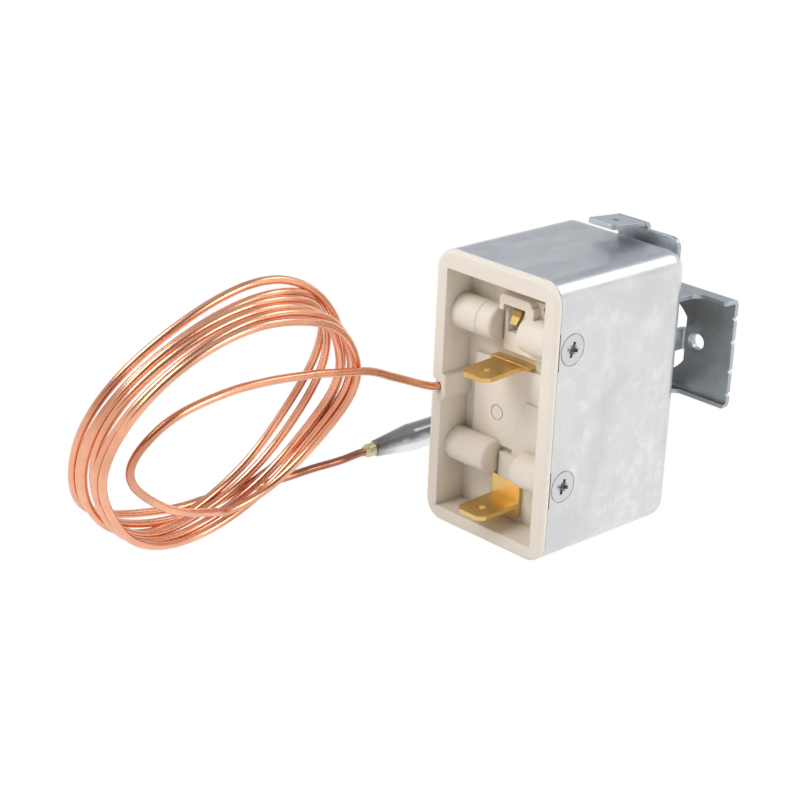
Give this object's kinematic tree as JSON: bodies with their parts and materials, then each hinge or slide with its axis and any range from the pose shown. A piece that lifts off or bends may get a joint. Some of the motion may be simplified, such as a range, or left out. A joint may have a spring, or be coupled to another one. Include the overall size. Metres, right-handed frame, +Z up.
{
  "type": "capillary thermostat",
  "caption": "Panel-mounted capillary thermostat: drawn steel case, moulded terminal base, folded front bracket with setpoint spindle, coiled capillary and sensing bulb.",
  "frame": {"origin": "middle of the footprint of the thermostat body, on the surface it stands on, without the capillary and bulb", "axes": "+Y from the terminals to the panel side along the spindle, +Z up, +X to the right seen from the terminals"},
  "size_m": [0.0535, 0.1366, 0.0523],
  "materials": {
    "case_steel": "bright galvanised, faint spangle",
    "base_moulding": "satin moulded thermoset",
    "screw_steel": "zinc plated",
    "terminal_brass": "stamped, bright",
    "bracket_zinc": "grey zinc plated",
    "bush_brass": "turned",
    "spindle_steel": "turned",
    "spring_steel": "drawn wire",
    "frame_steel": "stamped, plated",
    "capsule_steel": "pressed",
    "ceramic_white": "smooth",
    "copper": "drawn copper tube, slightly tarnished",
    "laminate": "insulating board",
    "spring_bronze": "rolled strip",
    "contact_silver": "riveted contact",
    "solder": "soft solder bead",
    "bulb_metal": "drawn, satin"
  },
  "bodies": {
    "housing": {"steel_case": "case_steel", "terminal_base": "base_moulding", "case_screws": "screw_steel", "upper_terminal": "terminal_brass", "lower_terminal": "terminal_brass", "third_terminal": "terminal_brass", "front_bracket": "bracket_zinc", "bracket_rivets": "screw_steel", "bush": "bush_brass", "bush_nut": "screw_steel", "mechanism_frame": "frame_steel", "pivot_pin": "spindle_steel", "diaphragm_capsule": "capsule_steel", "inner_capillary": "copper", "switch_plate": "laminate", "fixed_contacts": "contact_silver", "blade_rivet": "bush_brass", "capillary_lead": "copper", "capillary_coil": "copper", "capillary_tail": "copper", "solder_joint": "solder", "sensor_bulb": "bulb_metal"},
    "spindle": {"setpoint_spindle": "spindle_steel", "stop_finger": "spindle_steel", "retaining_ring": "spindle_steel"},
    "nut": {"setpoint_nut": "bush_brass", "range_spring": "spring_steel"},
    "lever": {"sensing_lever": "frame_steel"},
    "thrust": {"thrust_stud": "ceramic_white"},
    "pin": {"push_pin": "ceramic_white"},
    "blade": {"snap_blade": "spring_bronze", "moving_contact": "contact_silver"}
  },
  "joints": [
    {"name": "setpoint", "type": "hinge", "parent": "housing", "child": "spindle", "pos_m": [0, 0.0158, 0.0289], "axis": [0, 1, 0], "range_deg": [-135, 135]},
    {"name": "nut_travel", "type": "slide", "parent": "housing", "child": "nut", "axis": [0, 1, 0], "range_m": [-0.0003, 0.0003]},
    {"name": "lever_tilt", "type": "hinge", "parent": "housing", "child": "lever", "pos_m": [0, -0.0018, 0.0206], "axis": [1, 0, 0], "range_deg": [-0.8, 0.8]},
    {"name": "thrust_travel", "type": "slide", "parent": "housing", "child": "thrust", "axis": [0, 1, 0], "range_m": [-0.00015, 0.00015]},
    {"name": "pin_travel", "type": "slide", "parent": "housing", "child": "pin", "axis": [0, 1, 0], "range_m": [-0.000115, 0.000115]},
    {"name": "blade_swing", "type": "hinge", "parent": "housing", "child": "blade", "pos_m": [0, -0.00995, 0.0096], "axis": [1, 0, 0], "range_deg": [-0.35, 0.35]}
  ],
  "couplings": [
    {"joint": "setpoint", "follows": "nut_travel", "rad_per_m": -7853.9},
    {"joint": "lever_tilt", "follows": "pin_travel", "rad_per_m": -120.48},
    {"joint": "thrust_travel", "follows": "pin_travel", "ratio": -1.2169},
    {"joint": "blade_swing", "follows": "pin_travel", "rad_per_m": -51.813}
  ]
}
